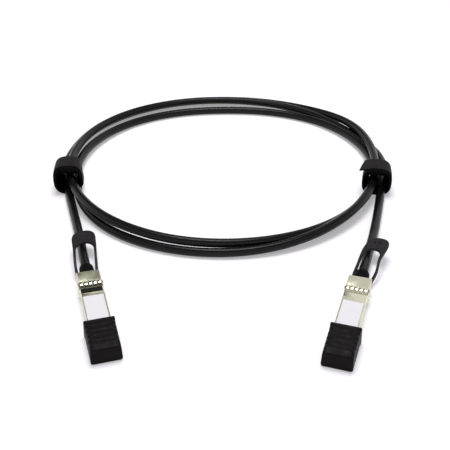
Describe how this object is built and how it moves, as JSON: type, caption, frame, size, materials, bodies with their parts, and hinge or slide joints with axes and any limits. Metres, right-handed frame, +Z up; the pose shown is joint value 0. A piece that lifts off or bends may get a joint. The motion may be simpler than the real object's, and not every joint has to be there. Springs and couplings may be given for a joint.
{
  "type": "direct attach copper cable",
  "caption": "Flat-bodied metal plugs with pull-tab latches and rubber dust caps on a black cable that lies coiled and strapped.",
  "frame": {"origin": "middle of the footprint of the plugs with their caps and tabs, on the surface that the cable lies on", "axes": "+Z up, +X to the right, -Y the way that the noses point, the plugs turned inward by 16 and 17.7 degrees, the coil at +Y"},
  "size_m": [0.2429, 0.3402, 0.0233],
  "materials": {
    "shell": "nickel-plated casting, satin",
    "collar": "bright sheet",
    "board": "green circuit board",
    "gilt": "gold plated",
    "insulation": "foil-wrapped conductor pairs",
    "ferrule": "tinned",
    "boot": "satin black",
    "tab": "matt, flexible",
    "steel": "plain",
    "label": "white paper, bare",
    "cap": "matt black",
    "cable": "semi-gloss black jacket",
    "tie": "hook-and-loop, charcoal"
  },
  "bodies": {
    "cable_set": {"left_top_housing": "shell", "left_bottom_housing": "shell", "left_emi_collar": "collar", "left_paddle_card": "board", "left_contact_pads": "gilt", "left_wire_pairs": "insulation", "left_crimp_ferrule": "ferrule", "left_cable_boot": "boot", "left_latch_spring": "steel", "left_latch_pin": "steel", "left_housing_screw": "steel", "left_label": "label", "right_top_housing": "shell", "right_bottom_housing": "shell", "right_emi_collar": "collar", "right_paddle_card": "board", "right_contact_pads": "gilt", "right_wire_pairs": "insulation", "right_crimp_ferrule": "ferrule", "right_cable_boot": "boot", "right_latch_spring": "steel", "right_latch_pin": "steel", "right_housing_screw": "steel", "right_label": "label", "cable_lead_left": "cable", "cable_lead_right": "cable", "cable_coil": "cable", "cable_tie_left": "tie", "cable_tie_right": "tie"},
    "left_release": {"left_pull_tab": "tab", "left_release_slider": "steel"},
    "left_latch": {"left_latch_lever": "steel"},
    "left_cap": {"left_dust_cap": "cap"},
    "right_release": {"right_pull_tab": "tab", "right_release_slider": "steel"},
    "right_latch": {"right_latch_lever": "steel"},
    "right_cap": {"right_dust_cap": "cap"}
  },
  "joints": [
    {"name": "left_tab_pull", "type": "slide", "parent": "cable_set", "child": "left_release", "axis": [-0.2756, 0.9613, 0], "range_m": [0, 0.0022], "stiffness_N_per_m": 800, "springref_m": -0.0005},
    {"name": "left_latch_pivot", "type": "hinge", "parent": "cable_set", "child": "left_latch", "pos_m": [-0.0796, 0.00265, 0.00235], "axis": [-0.9613, -0.2756, 0], "range_deg": [0, 8.7], "deforming": ["left_latch_spring"]},
    {"name": "left_cap_pull", "type": "slide", "parent": "cable_set", "child": "left_cap", "axis": [0.2756, -0.9613, 0], "range_m": [0, 0.025]},
    {"name": "right_tab_pull", "type": "slide", "parent": "cable_set", "child": "right_release", "axis": [0.304, 0.9527, 0], "range_m": [0, 0.0022], "stiffness_N_per_m": 800, "springref_m": -0.0005},
    {"name": "right_latch_pivot", "type": "hinge", "parent": "cable_set", "child": "right_latch", "pos_m": [0.07237, -0.00293, 0.00235], "axis": [-0.9527, 0.304, 0], "range_deg": [0, 8.7], "deforming": ["right_latch_spring"]},
    {"name": "right_cap_pull", "type": "slide", "parent": "cable_set", "child": "right_cap", "axis": [-0.304, -0.9527, 0], "range_m": [0, 0.025]}
  ],
  "couplings": [
    {"joint": "left_latch_pivot", "follows": "left_tab_pull", "rad_per_m": 68.182},
    {"joint": "right_latch_pivot", "follows": "right_tab_pull", "rad_per_m": 68.182}
  ]
}
